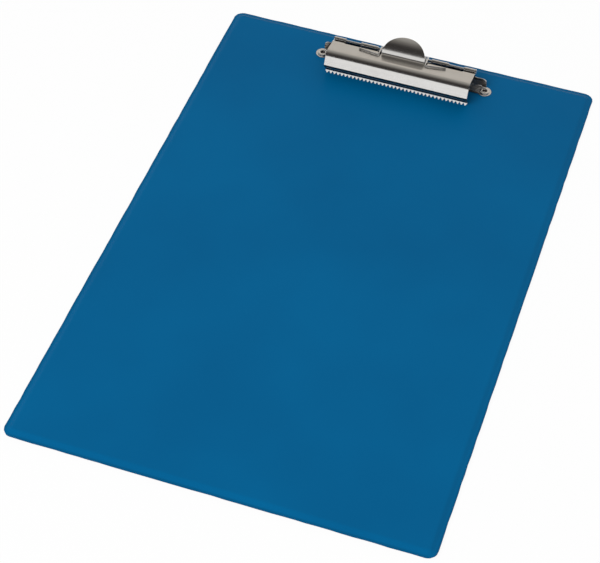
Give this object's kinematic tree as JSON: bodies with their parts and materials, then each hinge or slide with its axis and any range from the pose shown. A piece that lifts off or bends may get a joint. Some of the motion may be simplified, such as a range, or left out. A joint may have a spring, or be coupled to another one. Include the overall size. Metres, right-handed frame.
{
  "type": "clipboard",
  "caption": "A4 clipboard: stiff board welded in smooth blue film, with a plated spring clip riveted across the top edge that holds sheets under a toothed lip.",
  "frame": {"origin": "centre of the board on the flat face of its back, which lies on the desk", "axes": "+Y towards the end with the clip, +Z out of the writing face, +X to the right as the board is read"},
  "size_m": [0.22, 0.34, 0.0243],
  "materials": {
    "film": "satin blue PVC film",
    "greyboard": null,
    "clip_steel": "bright nickel-plated pressed steel",
    "wire_steel": "bright drawn wire",
    "rivet_steel": "bright nickel-plated"
  },
  "bodies": {
    "board": {"front_cover": "film", "back_cover": "film", "core_board": "greyboard", "clip_base": "clip_steel", "hinge_pin": "wire_steel", "torsion_spring": "wire_steel", "left_rivet": "rivet_steel", "right_rivet": "rivet_steel"},
    "jaw": {"clip_jaw": "clip_steel"}
  },
  "joints": [
    {"name": "jaw_hinge", "type": "hinge", "parent": "board", "child": "jaw", "pos_m": [0, 0.1511, 0.0154], "axis": [-1, 0, 0], "range_deg": [0, 40], "stiffness_Nm_per_rad": 0.35, "springref_deg": -34.95, "deforming": ["torsion_spring"]}
  ]
}
